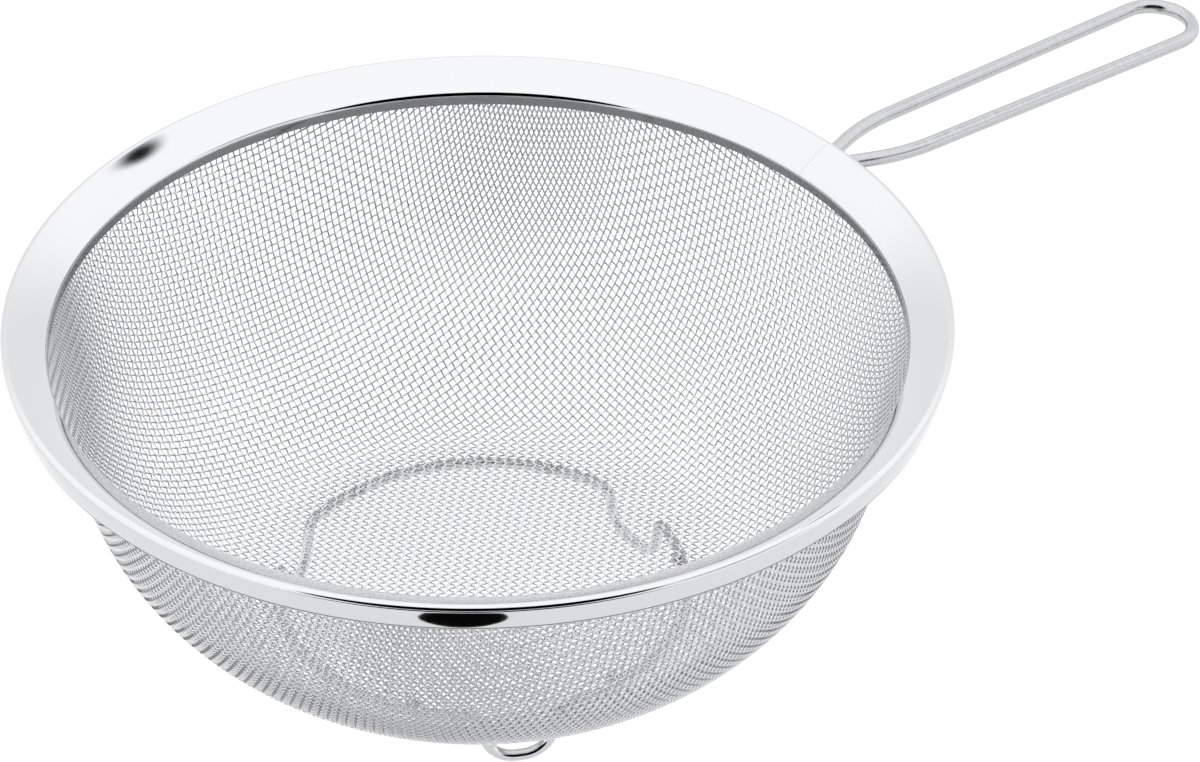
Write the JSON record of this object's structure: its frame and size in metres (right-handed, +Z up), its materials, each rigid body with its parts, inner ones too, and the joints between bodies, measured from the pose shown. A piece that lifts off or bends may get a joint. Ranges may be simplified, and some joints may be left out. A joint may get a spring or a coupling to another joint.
{
  "type": "colander",
  "caption": "Round wire-mesh colander: a woven steel bowl with a flat floor in a folded polished rim, with a long bent wire loop handle and a wire ring stand with rounded feet.",
  "frame": {"origin": "middle of the bowl's floor, on its inside face, on the bowl's axis", "axes": "+Z up along the bowl's axis, out of its mouth; +X along the handle, away from the bowl; +Y to the left of the handle"},
  "size_m": [0.3659, 0.24, 0.1025],
  "materials": {
    "cloth": "bright drawn stainless wire, woven",
    "rim": "mirror polished stainless strip",
    "wire": "satin stainless wire",
    "weld": "dull stainless weld"
  },
  "bodies": {
    "root": {"mesh_bowl": "cloth", "rim_band": "rim", "handle_loop": "wire", "handle_weld_left": "weld", "handle_weld_right": "weld", "foot_stand": "wire", "stand_joint": "weld", "stand_weld_1": "weld", "stand_weld_2": "weld", "stand_weld_3": "weld", "stand_weld_4": "weld", "stand_weld_5": "weld", "stand_weld_6": "weld"}
  },
  "joints": []
}
